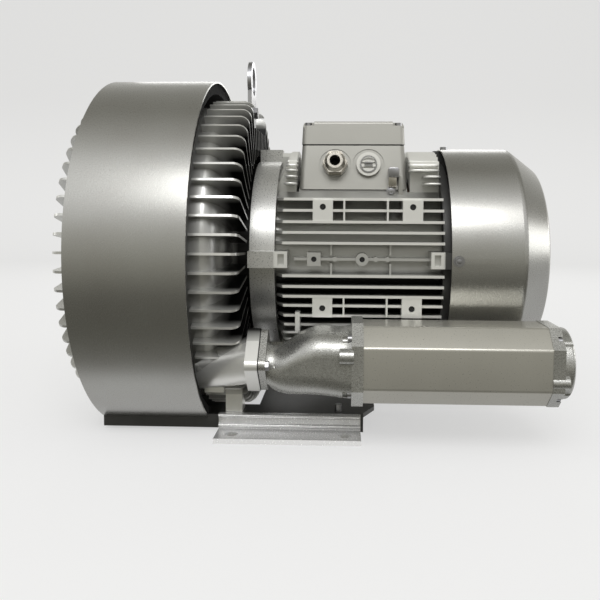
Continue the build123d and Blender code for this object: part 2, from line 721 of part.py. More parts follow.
# fan end: shield, wave washer, fan, cover
with BuildPart() as fan_shield:
    with BuildSketch(cross(FRAME_X1)):
        Circle(112)
        with PolarLocations((LUG_R + 90) / 2 - 3, 4):
            Rectangle(LUG_R - 90 - 6, LUG_W)
    extrude(amount=REAR_X1 - FRAME_X1)
    with BuildSketch(cross(FRAME_X1)):
        with PolarLocations((COVER_R - SHEET - 0.5 + 98) / 2, 4):
            Rectangle(COVER_R - SHEET - 0.5 - 98, LUG_W)
    extrude(amount=20)
    with BuildSketch(cross(FRAME_X1)):
        Circle(BORE_R)
        Circle(BORE_R - 7, mode=Mode.SUBTRACT)
    extrude(amount=-6)
    with BuildSketch(cross(REAR_X1)):
        Circle(BRG_OD + 9)
    extrude(amount=-(REAR_X1 - BRG_X[1]) - 1)
    with BuildSketch(cross(BRG_X[1] - 1)):
        Circle(BRG_OD)
    extrude(amount=BRG_W + 1 + 0.6, mode=Mode.SUBTRACT)
    with BuildSketch(cross(BRG_X[1])):
        Circle(22)
    extrude(amount=40, mode=Mode.SUBTRACT)
    with BuildSketch(cross(FRAME_X1)):
        with PolarLocations(LUG_BOLT_R, 4):
            Circle(3.4)
    extrude(amount=30, mode=Mode.SUBTRACT)
    with BuildSketch(cross(REAR_X1)):
        with PolarLocations(LUG_BOLT_R, 4):
            Circle(5.6)
    extrude(amount=30, mode=Mode.SUBTRACT)
    with BuildSketch(*[outward(a, LUG_R + 2, COVER_SCREW_X) for a in (0, 90, 180, 270)]):
        Circle(2.45)
    extrude(amount=-12, mode=Mode.SUBTRACT)
save(fan_shield, "fan_end_shield")
fan_lug_planes = [Plane(origin=(REAR_X1, LUG_BOLT_R * cos(radians(a)), AXIS_H + LUG_BOLT_R * sin(radians(a))),
                        x_dir=(0, 1, 0), z_dir=(1, 0, 0)) for a in (0, 90, 180, 270)]
placed(socket_screw(5, 6, 3, 22, 5), lug_planes + fan_lug_planes, "shield_screws")

with BuildPart() as cooling_fan:
    with BuildSketch(PROFILE):
        with Locations((214, 21.5)):
            Rectangle(28, 13)
        with Locations((202, 69)):
            Rectangle(4, 88)
    revolve(axis=SHAFT_AXIS)
    with BuildSketch(*[radial(k * 36) for k in range(10)]):
        with Locations((219, 70)):
            Rectangle(32, 84)
    extrude(amount=1.5, both=True)
    with BuildSketch(Plane.XY.offset(AXIS_H + 12.5)):
        with Locations((214, 0)):
            Rectangle(40, 6)
    extrude(amount=5.5, mode=Mode.SUBTRACT)
save(cooling_fan, "cooling_fan")
with BuildPart() as fan_circlip:
    with BuildSketch(cross(230.5)):
        Circle(19)
        Circle(14.3, mode=Mode.SUBTRACT)
        with Locations((18, 0)):
            Rectangle(12, 8, mode=Mode.SUBTRACT)
    extrude(amount=1.3)
save(fan_circlip, "fan_circlip")

with BuildPart() as fan_cover:
    with BuildSketch(PROFILE):
        with BuildLine():
            skin = FilletPolyline((COVER_X0, COVER_R), (COVER_X1, COVER_R), (COVER_X2, COVER_NOSE),
                                  (COVER_X2, 0), radius=8)
            FilletPolyline((COVER_X0, COVER_R - SHEET), (COVER_X1 - 0.6, COVER_R - SHEET),
                           (COVER_X2 - SHEET, COVER_NOSE - 1), (COVER_X2 - SHEET, 0), radius=6.5)
            Line((COVER_X0, COVER_R), (COVER_X0, COVER_R - SHEET))
            Line((COVER_X2, 0), (COVER_X2 - SHEET, 0))
        make_face()
    revolve(axis=SHAFT_AXIS)
    with BuildSketch(cross(COVER_X2 + 1)) as grille:
        Circle(88)
        for r in (80, 68, 56, 44, 32):
            Circle(r + 1.5, mode=Mode.SUBTRACT)
            Circle(r - 1.5)
        Circle(24, mode=Mode.SUBTRACT)
        with PolarLocations(56, 6):
            Rectangle(72, 5, mode=Mode.SUBTRACT)
    extrude(amount=-5, mode=Mode.SUBTRACT)
    with BuildSketch(*[outward(a, COVER_R + 2, COVER_SCREW_X) for a in (0, 90, 180, 270)]):
        Circle(2.6)
    extrude(amount=-8, mode=Mode.SUBTRACT)
save(fan_cover, "fan_cover")
cover_planes = [outward(a, COVER_R, COVER_SCREW_X) for a in (0, 90, 180, 270)]

# terminal box on the barrel
WALL = 3.5
BOX_MID = (BOX_X0 + BOX_X1) / 2
BOX_LOW = 78.0
LEAN = 9.0                 # the long walls lean in by this much over the base height


def box_solid(inset, z0, z1, saddle):
    """tapered block for the box base, cut to the barrel"""
    with BuildPart() as block:
        with BuildSketch(Plane.XY.offset(AXIS_H + z0)):
            with Locations((BOX_MID, 0)):
                RectangleRounded(126 - 2 * inset, 124 - 2 * inset, 6 - inset * 0.8)
        with BuildSketch(Plane.XY.offset(AXIS_H + z1)):
            with Locations((BOX_MID, 0)):
                RectangleRounded(120 - 2 * inset, 124 - 2 * LEAN - 2 * inset, 6 - inset * 0.8)
        loft()
        with BuildSketch(cross(-40)):
            Circle(saddle)
        extrude(amount=220, mode=Mode.SUBTRACT)
    return block.part


tilt = (0, -cos(radians(9.9)), sin(radians(9.9)))
entry_y = -62 + (ENTRY_Z - BOX_LOW) / (BOX_SPLIT - BOX_LOW) * LEAN
gland_plane = Plane(origin=(GLAND_X, entry_y, AXIS_H + ENTRY_Z), x_dir=(1, 0, 0), z_dir=tilt)
plug_plane = Plane(origin=(PLUG_X, entry_y, AXIS_H + ENTRY_Z), x_dir=(1, 0, 0), z_dir=tilt)
LID_SCREWS = [(BOX_MID + i * 53, j * 46) for i in (-1, 1) for j in (-1, 1)]
BASE_SCREWS = [(x, y) for x in (25, 115) for y in (-30, 30)]
box_outer = box_solid(0, BOX_LOW, BOX_SPLIT, BARREL_R + 1.1)
box_inner = box_solid(WALL, BOX_LOW, BOX_SPLIT + 0.01, BARREL_R + 4.5)
with BuildPart() as terminal_box:
    add(box_outer)
    add(box_inner, mode=Mode.SUBTRACT)
    with BuildSketch(Plane.XY.offset(AXIS_H + BOX_SPLIT)):
        with Locations(*LID_SCREWS):
            Circle(5.5)
    extrude(amount=-26)
    with BuildSketch(gland_plane.offset(2), plug_plane.offset(2)):
        Circle(18.5)
    extrude(amount=-3, mode=Mode.SUBTRACT)
    with BuildSketch(gland_plane.offset(-WALL + 0.5), plug_plane.offset(-WALL + 0.5)):
        Circle(14.6)
    extrude(amount=WALL - 0.5 + 1.2)
    with BuildSketch(gland_plane, plug_plane):
        Circle(12.2)
    extrude(amount=10, both=True, mode=Mode.SUBTRACT)
    with BuildSketch(Plane.XY.offset(AXIS_H + BOX_SPLIT)):
        with Locations(*LID_SCREWS):
            Circle(2.1)
    extrude(amount=-16, mode=Mode.SUBTRACT)
    with BuildSketch(Plane.XY.offset(AXIS_H + 80)):
        with Locations((70, 0)):
            Circle(14)
        with Locations(*BASE_SCREWS):
            Circle(2.8)
    extrude(amount=30, mode=Mode.SUBTRACT)
save(terminal_box, "terminal_box")

GASKET_T = 1.6
with BuildPart() as lid_gasket:
    with BuildSketch(Plane.XY.offset(AXIS_H + BOX_SPLIT)):
        with Locations((BOX_MID, 0)):
            RectangleRounded(119, 105, 5.5)
            RectangleRounded(113, 99, 3, mode=Mode.SUBTRACT)
        with Locations(*LID_SCREWS):
            Circle(5.5)
            Circle(2.4, mode=Mode.SUBTRACT)
    extrude(amount=GASKET_T)
save(lid_gasket, "lid_gasket")

LID_Z = BOX_SPLIT + GASKET_T
LID_STEP = 5.0             # depth of the corner steps
with BuildPart() as terminal_lid:
    with BuildSketch(Plane.XY.offset(AXIS_H + LID_Z)):
        with Locations((BOX_MID, 0)):
            RectangleRounded(121, 107, 6)
    extrude(amount=BOX_TOP - LID_Z, taper=3)
    fillet(terminal_lid.faces().sort_by(Axis.Z)[-1].edges(), radius=3)
    with BuildSketch(Plane.XY.offset(AXIS_H + LID_Z)):
        with Locations((BOX_MID, 0)):
            RectangleRounded(113, 99, 3)
    extrude(amount=BOX_TOP - LID_Z - 3, taper=3, mode=Mode.SUBTRACT)
    with BuildSketch(Plane.XY.offset(AXIS_H + LID_Z)):
        with Locations(*LID_SCREWS):
            Circle(6)
    extrude(amount=BOX_TOP - LID_Z - LID_STEP - 0.5)
    # corner steps for the screw heads, walled off from the inside
    with BuildSketch(Plane.XY.offset(AXIS_H + BOX_TOP - LID_STEP - 2.5)):
        with Locations(*[(BOX_MID + i * 50, j * 43) for i in (-1, 1) for j in (-1, 1)]):
            Rectangle(18, 18)
    extrude(amount=LID_STEP)
    with BuildSketch(Plane.XY.offset(AXIS_H + BOX_TOP)):
        with Locations(*[(BOX_MID + i * 54, j * 47) for i in (-1, 1) for j in (-1, 1)]):
            Rectangle(16, 16)
    extrude(amount=-LID_STEP, mode=Mode.SUBTRACT)
    with BuildSketch(Plane.XY.offset(AXIS_H + BOX_TOP)):
        with Locations(*LID_SCREWS):
            Circle(2.4)
    extrude(amount=-40, mode=Mode.SUBTRACT)
save(terminal_lid, "terminal_lid")
lid_planes = [Plane.XY.offset(AXIS_H + BOX_TOP - LID_STEP).move(Location((x, y, 0))) for x, y in LID_SCREWS]
placed(socket_screw(4, 3.6, 2, 34, 3), lid_planes, "lid_screws")
base_planes = [Plane(origin=(x, y, AXIS_H + sqrt((BARREL_R + 4.5) ** 2 - y * y) + 1.2)) for x, y in BASE_SCREWS]
placed(socket_screw(4.5, 3.5, 2.4, 9.5, 3), cover_planes + base_planes, "m5_screws")

with BuildPart() as terminal_block:
    with BuildSketch(Plane.XY.offset(AXIS_H + BARREL_R + 4.6)):
        with Locations((70, 28)):
            Rectangle(60, 16)
        with Locations((70, -28)):
            Rectangle(60, 16)
    extrude(amount=6)
    with BuildSketch(Plane.XY.offset(AXIS_H + BARREL_R + 10)):
        with Locations((70, 0)):
            Rectangle(66, 72)
    extrude(amount=6)
save(terminal_block, "terminal_block")
with BuildPart() as terminal_studs:
    with BuildSketch(Plane.XY.offset(AXIS_H + BARREL_R + 16)):
        with Locations(*[(50 + 20 * i, j * 22) for i in range(3) for j in (-1, 1)]):
            RegularPolygon(5.8, 6)
    extrude(amount=4)
    with BuildSketch(Plane.XY.offset(AXIS_H + BARREL_R + 16)):
        with Locations(*[(50 + 20 * i, j * 22) for i in range(3) for j in (-1, 1)]):
            Circle(2.5)
    extrude(amount=13)
save(terminal_studs, "terminal_studs")

# cable gland and blanking plug, turned parts on their own axes
with BuildPart() as gland_raw:
    with BuildSketch(Plane.XY.offset(1.2)):
        RegularPolygon(15, 6)
    extrude(amount=5)
    with BuildSketch(Plane.XY.offset(-9)):
        Circle(12)
    extrude(amount=11)
    with BuildSketch(Plane.XY.offset(6.2)):
        Circle(11)
    extrude(amount=8)
    with BuildSketch(Plane.XY.offset(-9)):
        Circle(8.5)
    extrude(amount=30, mode=Mode.SUBTRACT)
with BuildPart() as nut_raw:
    with BuildSketch(Plane.XY.offset(6.8)):
        RegularPolygon(14.2, 6)
    extrude(amount=9)
    with BuildSketch(Plane.XY.offset(15.8)):
        Circle(12.2)
    extrude(amount=6, taper=28)
    with BuildSketch(Plane.XY.offset(6)):
        Circle(11.05)
    extrude(amount=9, mode=Mode.SUBTRACT)
    with BuildSketch(Plane.XY.offset(6)):
        Circle(6.2)
    extrude(amount=20, mode=Mode.SUBTRACT)
with BuildPart() as seal_raw:
    with BuildSketch(Plane.XY.offset(1)):
        Circle(8.4)
        Circle(5, mode=Mode.SUBTRACT)
    extrude(amount=13)
with BuildPart() as plug_raw:
    with BuildSketch(Plane.XY.offset(1.2)):
        Circle(14)
    extrude(amount=3)
    with BuildSketch(Plane.XY.offset(-7)):
        Circle(12)
    extrude(amount=9)
    with BuildSketch(Plane.XY.offset(4.2)):
        with Locations((0, 2.6), (0, -2.6)):
            Rectangle(17, 2.4)
    extrude(amount=1.8)
with BuildPart() as locknut_raw:
    with BuildSketch(Plane.XY.offset(-WALL - 0.6)):
        RegularPolygon(16, 6)
        Circle(12.05, mode=Mode.SUBTRACT)
    extrude(amount=-3)
placed(gland_raw.part, [gland_plane], "gland_body")
placed(nut_raw.part, [gland_plane], "gland_nut")
placed(seal_raw.part, [gland_plane], "gland_seal")
placed(plug_raw.part, [plug_plane], "blanking_plug")
placed(locknut_raw.part, [gland_plane, plug_plane], "entry_locknuts")

# silencers and the elbows feeding them, near and far side
ELBOW_X0 = PORT_FACE + 1.0
ELBOW_BODY = PORT_FACE + 8.0
SCREW_Y, SCREW_Z = 29.0, 28.0
elbow_outer = ((ELBOW_X0 + 3, 44, 44, 20, PORT_Y, PORT_Z), (-4, 50, 51, 24, PORT_Y, -112),
               (15, 64, 62, 25, 154, -106), (44, 74, 68, 24, SIL_Y, -103), (ELBOW_X1 + 1, 76, 72, 22, SIL_Y, SIL_Z))
elbow_inner = ((ELBOW_X0 - 0.01, 38, 38, 17, PORT_Y, PORT_Z), (-4, 40, 41, 19, PORT_Y, -112),
               (15, 54, 52, 20, 154, -106), (44, 62, 56, 18, SIL_Y, -103), (SIL_X0 + 0.01, 48, 48, 20, SIL_Y, SIL_Z))


def duct(side, stations):
    """smooth solid through rounded sections given as x, width, height, corner radius, y, z"""
    with BuildPart() as body:
        for x, w, h, r, y, z in stations:
            with BuildSketch(cross(x, side * y, z)):
                RectangleRounded(w, h, r)
        loft()
    return body.part


def octagon(w, h, cut):
    """rectangle with its corners cut at 45 degrees"""
    with BuildSketch() as outline:
        Rectangle(w, h)
        chamfer(outline.vertices(), length=cut)
    return outline.sketch


def elbow(side, name):
    outer = duct(side, elbow_outer)
    inner = duct(side, elbow_inner)
    with BuildPart() as piece:
        add(outer)
        with BuildSketch(cross(ELBOW_X0, side * PORT_Y, PORT_Z)):
            RectangleRounded(FLANGE_W - 2, FLANGE_W - 2, FLANGE_FILLET, rotation=45)
        extrude(amount=ELBOW_BODY - ELBOW_X0)
        with BuildSketch(cross(ELBOW_X1, side * SIL_Y, SIL_Z)):
            add(octagon(84, 86, 20))
        extrude(amount=SIL_X0 - ELBOW_X1)
        with BuildSketch(cross(ELBOW_X1 - 12, side * (SIL_Y + 38), SIL_Z + 12)):
            Circle(8)
        extrude(amount=14)
        add(inner, mode=Mode.SUBTRACT)
        with BuildSketch(cross(ELBOW_X0)):
            with Locations((side * PORT_Y, PORT_Z)):
                with PolarLocations(PORT_BOLT_R, 2):
                    Circle(3.3)
        extrude(amount=ELBOW_BODY - ELBOW_X0, mode=Mode.SUBTRACT)
        # scallops for the screw heads
        with BuildSketch(cross(ELBOW_BODY)):
            with Locations((side * PORT_Y, PORT_Z)):
                with PolarLocations(PORT_BOLT_R, 2):
                    Circle(5.9)
        extrude(amount=9, mode=Mode.SUBTRACT)
        with BuildSketch(cross(ELBOW_X1)):
            with Locations(*[(side * SIL_Y + i * SCREW_Y, SIL_Z + j * SCREW_Z) for i in (-1, 1) for j in (-1, 1)]):
                Circle(5)
        extrude(amount=-9, mode=Mode.SUBTRACT)
        with BuildSketch(cross(SIL_X0)):
            with Locations(*[(side * SIL_Y + i * SCREW_Y, SIL_Z + j * SCREW_Z) for i in (-1, 1) for j in (-1, 1)]):
                Circle(2.6)
        extrude(amount=-14, mode=Mode.SUBTRACT)
    save(piece, name)


def silencer_tube(side, name):
    front = side * (SIL_Y + SIL_W / 2)
    with BuildPart() as piece:
        with BuildSketch(cross(SIL_X0, side * SIL_Y, SIL_Z)):
            add(octagon(SIL_W, SIL_H, 19))
            add(octagon(SIL_W - 6, SIL_H - 6, 17.5), mode=Mode.SUBTRACT)
            with Locations(*[(i * SCREW_Y, j * SCREW_Z) for i in (-1, 1) for j in (-1, 1)]):
                Circle(5)
                Circle(2.1, mode=Mode.SUBTRACT)
            with Locations(*[(side * SIL_W / 2, z) for z in (-22, -17)]):
                Rectangle(1.6, 1.6)
        extrude(amount=SIL_X1 - SIL_X0)
        with BuildSketch(Plane(origin=(0, front, AXIS_H), x_dir=(1, 0, 0), z_dir=(0, side, 0))):
            with Locations((SIL_X1 - 8, SIL_Z + 14)):
                Rectangle(17, 24)
        extrude(amount=-4, mode=Mode.SUBTRACT)
    save(piece, name)


with BuildPart() as absorbers:
    for side in (-1, 1):
        with BuildSketch(cross(SIL_X0 + 1, side * SIL_Y, SIL_Z)):
            Circle(34)
            Circle(24, mode=Mode.SUBTRACT)
        extrude(amount=SIL_X1 - SIL_X0 - 2)
save(absorbers, "silencer_absorbers")


def end_cap(side, name):
    with BuildPart() as piece:
        with BuildSketch(cross(SIL_X1, side * SIL_Y, SIL_Z)):
            add(octagon(SIL_W + 1, SIL_H + 1, 19))
        extrude(amount=12)
        with BuildSketch(cross(SIL_X1 + 12, side * SIL_Y, SIL_Z)):
            Circle(37)
        extrude(amount=SIL_X2 - SIL_X1 - 12)
        fillet(piece.faces().sort_by(Axis.X)[-1].edges(), radius=4)
        with BuildSketch(cross(SIL_X1, side * SIL_Y, SIL_Z)):
            Circle(27)
        extrude(amount=40, mode=Mode.SUBTRACT)
        with BuildSketch(cross(SIL_X1, side * (SIL_Y + 36), SIL_Z - 12)):
            Circle(7)
        extrude(amount=17)
        with BuildSketch(cross(SIL_X1)):
            with Locations(*[(side * SIL_Y + i * SCREW_Y, SIL_Z + j * SCREW_Z) for i in (-1, 1) for j in (-1, 1)]):
                Circle(2.6)
        extrude(amount=14, mode=Mode.SUBTRACT)
        with BuildSketch(cross(SIL_X1 + 7)):
            with Locations(*[(side * SIL_Y + i * SCREW_Y, SIL_Z + j * SCREW_Z) for i in (-1, 1) for j in (-1, 1)]):
                Circle(5)
        extrude(amount=20, mode=Mode.SUBTRACT)
    save(piece, name)


for side, tag in ((-1, "near"), (1, "far")):
    elbow(side, "elbow_" + tag)
    silencer_tube(side, "silencer_tube_" + tag)
    end_cap(side, "end_cap_" + tag)

with BuildPart() as port_gaskets:
    with BuildSketch(cross(PORT_FACE)):
        for s in (-1, 1):
            with Locations(port_side(s)):
                RectangleRounded(FLANGE_W - 3, FLANGE_W - 3, FLANGE_FILLET, rotation=45)
                Circle(PORT_R + 0.5, mode=Mode.SUBTRACT)
                with PolarLocations(PORT_BOLT_R, 2):
                    Circle(3.5, mode=Mode.SUBTRACT)
    extrude(amount=1)
save(port_gaskets, "port_gaskets")
port_bolt_planes = [cross(ELBOW_BODY, s * PORT_Y + k * PORT_BOLT_R, PORT_Z) for s in (-1, 1) for k in (-1, 1)]
silencer_screw_planes = []
for s in (-1, 1):
    for i in (-1, 1):
        for j in (-1, 1):
            seat = (s * SIL_Y + i * SCREW_Y, SIL_Z + j * SCREW_Z)
            silencer_screw_planes.append(cross(SIL_X1 + 7, *seat))
            silencer_screw_planes.append(Plane(origin=(ELBOW_X1, seat[0], AXIS_H + seat[1]),
                                               x_dir=(0, 1, 0), z_dir=(-1, 0, 0)))
placed(socket_screw(4.2, 4, 2, 26, 3), silencer_screw_planes, "silencer_screws")

# lifting lug
with BuildPart() as lifting_lug:
    with BuildSketch(cross(LUG_X0)) as eye:
        with Locations((0, 182)):
            Rectangle(40, 60)
        with Locations((0, 213)):
            Circle(24)
        with Locations((0, 213)):
            SlotCenterToCenter(8, 26, rotation=90, mode=Mode.SUBTRACT)
        with Locations((0, LUG_SCREW_Z)):
            Circle(4.4, mode=Mode.SUBTRACT)
    extrude(amount=LUG_T)
save(lifting_lug, "lifting_lug")

# noise band round the casings, open at the bottom
BAND_SWEEP = 180 + 2 * BAND_END
with BuildPart() as noise_band:
    with BuildSketch(radial(-BAND_END)):
        with Locations(((BAND_X0 + BAND_X1) / 2, BAND_R - BAND_T / 2)):
            Rectangle(BAND_X1 - BAND_X0, BAND_T)
    revolve(axis=SHAFT_AXIS, revolution_arc=BAND_SWEEP)
save(noise_band, "noise_band")
LINER = (195.0, BAND_R - BAND_T - 0.3)
LINER_START = -20          # the lining stops short of the inlet duct
with BuildPart() as band_liner:
    with BuildSketch(radial(LINER_START)):
        with Locations(((BAND_X0 + BAND_X1) / 2, sum(LINER) / 2)):
            Rectangle(BAND_X1 - BAND_X0 - 6, LINER[1] - LINER[0])
    revolve(axis=SHAFT_AXIS, revolution_arc=179 + BAND_END - LINER_START)
    with BuildSketch(*[outward(a, 190, -141) for a in BRACKETS]):
        Rectangle(30, 36)
    extrude(amount=30, mode=Mode.SUBTRACT)
save(band_liner, "band_liner")
with BuildPart() as band_brackets:
    with BuildSketch(*[outward(a, DRUM_R, -141) for a in BRACKETS]):
        Rectangle(22, 26)
    extrude(amount=BAND_R - BAND_T - DRUM_R - 0.7)
    with BuildSketch(*[outward(a, DRUM_R + 3, -141) for a in BRACKETS]):
        Rectangle(40, 20)
    extrude(amount=BAND_R - BAND_T - DRUM_R - 6.5, mode=Mode.SUBTRACT)
    with BuildSketch(*[outward(a, DRUM_R - 1, -141) for a in BRACKETS]):
        Circle(3.3)
    extrude(amount=6, mode=Mode.SUBTRACT)
save(band_brackets, "band_brackets")
bracket_planes = [outward(a, DRUM_R + 3, -141) for a in BRACKETS]
placed(hex_bolt(9, 4, 3, 14), port_bolt_planes + bracket_planes, "m6_screws")

# base plate and foot rails
BASE_SCREW_XY = [(x, s * LEG_MID[1]) for x in (LEG_MID[0], 55) for s in (-1, 1)]
with BuildPart() as base_plate:
    with BuildSketch(Plane.XY.offset(RAIL_H - PLATE_T)):
        with BuildLine():
            Polyline((-80, -103), (82, -103), (97, -72), (97, 72), (82, 103), (-80, 103), (-80, 72),
                     (-38, 72), (-38, -72), (-80, -72), (-80, -103))
        make_face()
        with Locations(*BASE_SCREW_XY):
            Circle(4.4, mode=Mode.SUBTRACT)
    extrude(amount=PLATE_T)
    with BuildSketch(Plane.XY.offset(1)):
        with Locations((81.8, 98), (81.8, -98)):
            Rectangle(3, 10)
    extrude(amount=RAIL_H - 1)
save(base_plate, "base_plate")


def foot_rail(side, name):
    with BuildPart() as rail:
        with BuildSketch(Plane(origin=(-RAIL_LEN / 2, 0, 0), x_dir=(0, 1, 0), z_dir=(1, 0, 0))):
            with BuildLine():
                Polyline((side * 104, 0), (side * RAIL_OUT, 0), (side * (RAIL_OUT - 2), FOOT_T),
                         (side * 109, FOOT_T), (side * 109, RAIL_H), (side * 104, RAIL_H), (side * 104, 17),
                         (side * 78, 17), (side * 78, 12), (side * 104, 12), (side * 104, 0))
            make_face()
            with Locations((side * 109, RAIL_H - 2.4), (side * 109, 8.6)):
                Circle(2.4)
        extrude(amount=RAIL_LEN)
        with BuildSketch(Plane.XY):
            with Locations(*[(x, side * BOLT_Y / 2) for x in (-BOLT_X / 2, BOLT_X / 2)]):
                Circle(7)
        extrude(amount=FOOT_T, mode=Mode.SUBTRACT)
        with BuildSketch(Plane.XY.offset(12)):
            with Locations(*[(x, y) for x, y in BASE_SCREW_XY if y * side > 0]):
                Circle(4.4)
        extrude(amount=5, mode=Mode.SUBTRACT)
    save(rail, name)


foot_rail(-1, "foot_rail_near")
foot_rail(1, "foot_rail_far")
screw_planes = [Plane(origin=(x, y, 12), x_dir=(1, 0, 0), z_dir=(0, 0, -1)) for x, y in BASE_SCREW_XY]
placed(hex_bolt(13, 5.3, 4, 18), screw_planes + [cross(LUG_X0 + LUG_T, 0, LUG_SCREW_Z)], "m8_screws")
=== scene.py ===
import json
import math

import bmesh
import bpy
from mathutils import Matrix, Vector


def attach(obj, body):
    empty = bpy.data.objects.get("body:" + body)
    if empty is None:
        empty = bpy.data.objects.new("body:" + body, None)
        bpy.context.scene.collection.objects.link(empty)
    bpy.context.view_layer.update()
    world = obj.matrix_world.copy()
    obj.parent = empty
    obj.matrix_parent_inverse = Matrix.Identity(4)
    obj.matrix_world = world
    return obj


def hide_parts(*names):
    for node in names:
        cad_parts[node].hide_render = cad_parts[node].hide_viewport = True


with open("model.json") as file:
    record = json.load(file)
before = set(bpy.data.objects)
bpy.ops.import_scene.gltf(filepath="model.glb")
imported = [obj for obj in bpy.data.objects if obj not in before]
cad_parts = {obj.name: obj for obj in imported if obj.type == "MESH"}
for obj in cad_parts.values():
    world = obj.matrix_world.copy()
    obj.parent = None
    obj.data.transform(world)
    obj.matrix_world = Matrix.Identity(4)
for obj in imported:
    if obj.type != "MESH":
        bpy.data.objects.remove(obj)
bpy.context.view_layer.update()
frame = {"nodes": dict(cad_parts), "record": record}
print("frame loaded", len(frame["nodes"]), "nodes")

scene = bpy.context.scene
axisZ = 0.198      # height of the shaft


# linear colour from a hex code
def srgb(code):
    code = code.lstrip("#")
    out = []
    for i in (0, 2, 4):
        c = int(code[i:i + 2], 16) / 255
        out.append(c / 12.92 if c <= 0.04045 else ((c + 0.055) / 1.055) ** 2.4)
    return (*out, 1.0)


# new shader node with its settings and its inputs, by name or number
def addNode(tree, kind, inputs=(), **settings):
    node = tree.nodes.new(kind)
    for key, value in settings.items():
        setattr(node, key, value)
    for key, value in dict(inputs).items():
        socket = node.inputs[key]
        if isinstance(value, bpy.types.NodeSocket):
            tree.links.new(value, socket)
        else:
            socket.default_value = value
    return node


def newMaterial(name):
    mat = bpy.data.materials.new(name)
    mat.use_nodes = True
    tree = mat.node_tree
    tree.nodes.clear()
    out = tree.nodes.new("ShaderNodeOutputMaterial")
    shader = tree.nodes.new("ShaderNodeBsdfPrincipled")
    tree.links.new(shader.outputs[0], out.inputs[0])
    place = tree.nodes.new("ShaderNodeTexCoord").outputs["Object"]
    return mat, tree, shader, place


def mixColour(tree, factor, a, b):
    node = addNode(tree, "ShaderNodeMix", data_type="RGBA")
    for socket, value in ((node.inputs[0], factor), (node.inputs[6], a), (node.inputs[7], b)):
        if isinstance(value, bpy.types.NodeSocket):
            tree.links.new(value, socket)
        else:
            socket.default_value = value
    return node.outputs[2]


toneSize = 0.05      # patches of slightly lighter and darker paint


# metallic surface: large soft tone change, fine grain in roughness and height, sizes in metres
def metalFinish(name, colour, dark, rough, roughSpread, metallic, grain, bumpHeight, speckle=0.0):
    mat, tree, shader, place = newMaterial(name)
    soft = addNode(tree, "ShaderNodeTexNoise", {"Vector": place, "Scale": 1 / toneSize, "Detail": 3.0})
    fine = addNode(tree, "ShaderNodeTexNoise", {"Vector": place, "Scale": 1 / grain, "Detail": 4.0, "Roughness": 0.6})
    tone = addNode(tree, "ShaderNodeMapRange", {"Value": soft.outputs["Fac"], "From Min": 0.3, "From Max": 0.7})
    shine = addNode(tree, "ShaderNodeMapRange", {"Value": fine.outputs["Fac"], "From Min": 0.3, "From Max": 0.7,
                                                 "To Min": rough - roughSpread, "To Max": rough + roughSpread})
    bump = addNode(tree, "ShaderNodeBump", {"Height": fine.outputs["Fac"], "Distance": bumpHeight, "Strength": 1.0})
    paint = mixColour(tree, tone.outputs[0], srgb(dark), srgb(colour))
    if speckle:     # grains of the sand skin that shine or lie dark
        spots = addNode(tree, "ShaderNodeMapRange", {"Value": fine.outputs["Fac"], "From Min": 0.4, "From Max": 0.6,
                                                     "To Min": 1 - speckle, "To Max": 1 + speckle})
        paint = addNode(tree, "ShaderNodeVectorMath", {0: paint, 1: spots.outputs[0]}, operation="MULTIPLY").outputs[0]
    tree.links.new(paint, shader.inputs["Base Color"])
    tree.links.new(shine.outputs[0], shader.inputs["Roughness"])
    tree.links.new(bump.outputs[0], shader.inputs["Normal"])
    shader.inputs["Metallic"].default_value = metallic
    return mat


# silver enamel over pressure die-cast aluminium: flake gives a soft metallic sheen, skin nearly smooth
silverCast = metalFinish("silver paint on die casting", "#cfcfcb", "#c6c6c2", 0.34, 0.03, 0.62, 0.0014, 0.000009)
# the same paint on the thin fins
silverFins = metalFinish("silver paint on fins", "#d6d6d2", "#cececa", 0.30, 0.03, 0.72, 0.0014, 0.000007)
# the box walls take a darker copy of the lid's silver paint, as painted shade; with less flake the box stays even
# where a wall leans
shadedBoxPaint = metalFinish("silver paint on terminal box, darkened as painted shade", "#a3a29c", "#9e9d97", 0.42, 0.03, 0.45, 0.0014, 0.000006)
silverLid = metalFinish("silver paint on terminal lid", "#bab9b3", "#b5b4ae", 0.42, 0.03, 0.5, 0.0014, 0.000006)
# drive shield: sand skin painted over, close to smooth
smoothSand = metalFinish("silver paint on smooth sand casting", "#cdcdca", "#c0c0bd", 0.3, 0.05, 0.72, 0.0012,
                         0.000015, speckle=0.03)
# sand cast aluminium under silver paint: grains near 1 mm stay visible
sandCast = metalFinish("silver paint on sand casting", "#bebeba", "#aaaaa6", 0.30, 0.09, 0.85, 0.0012, 0.00016,
                       speckle=0.13)
# rolled steel sheet with satin silver coat
satinSheet = metalFinish("satin silver sheet", "#b3b3af", "#aeada9", 0.28, 0.015, 0.92, 0.0008, 0.0000012)
# extruded aluminium, silver paint with a slightly warm tone
extruded = metalFinish("painted extrusion", "#bdbbb2", "#b8b6ad", 0.29, 0.02, 0.62, 0.0012, 0.0000015)
# foot rails as they come off the press
millRail = metalFinish("mill finish extrusion", "#e6e6e6", "#dedede", 0.26, 0.02, 0.6, 0.0012, 0.000002)
# bright zinc on screws, bolts and the lifting lug
zincSteel = metalFinish("zinc plated steel", "#b4b4b6", "#9d9da0", 0.30, 0.05, 1.0, 0.0007, 0.00001)
# shaft, bearing rings, keys and brackets
groundSteel = metalFinish("ground steel", "#b9b9bb", "#a9a9ab", 0.22, 0.05, 1.0, 0.0005, 0.00001)
# cable gland and terminals
nickelBrass = metalFinish("nickel plated brass", "#c9c5bd", "#b9b4aa", 0.2, 0.04, 1.0, 0.0006, 0.00001)
# stacked sheet inside the motor
lamination = metalFinish("electrical steel stack", "#4d4d50", "#3a3a3d", 0.45, 0.08, 0.9, 0.0005, 0.00004)
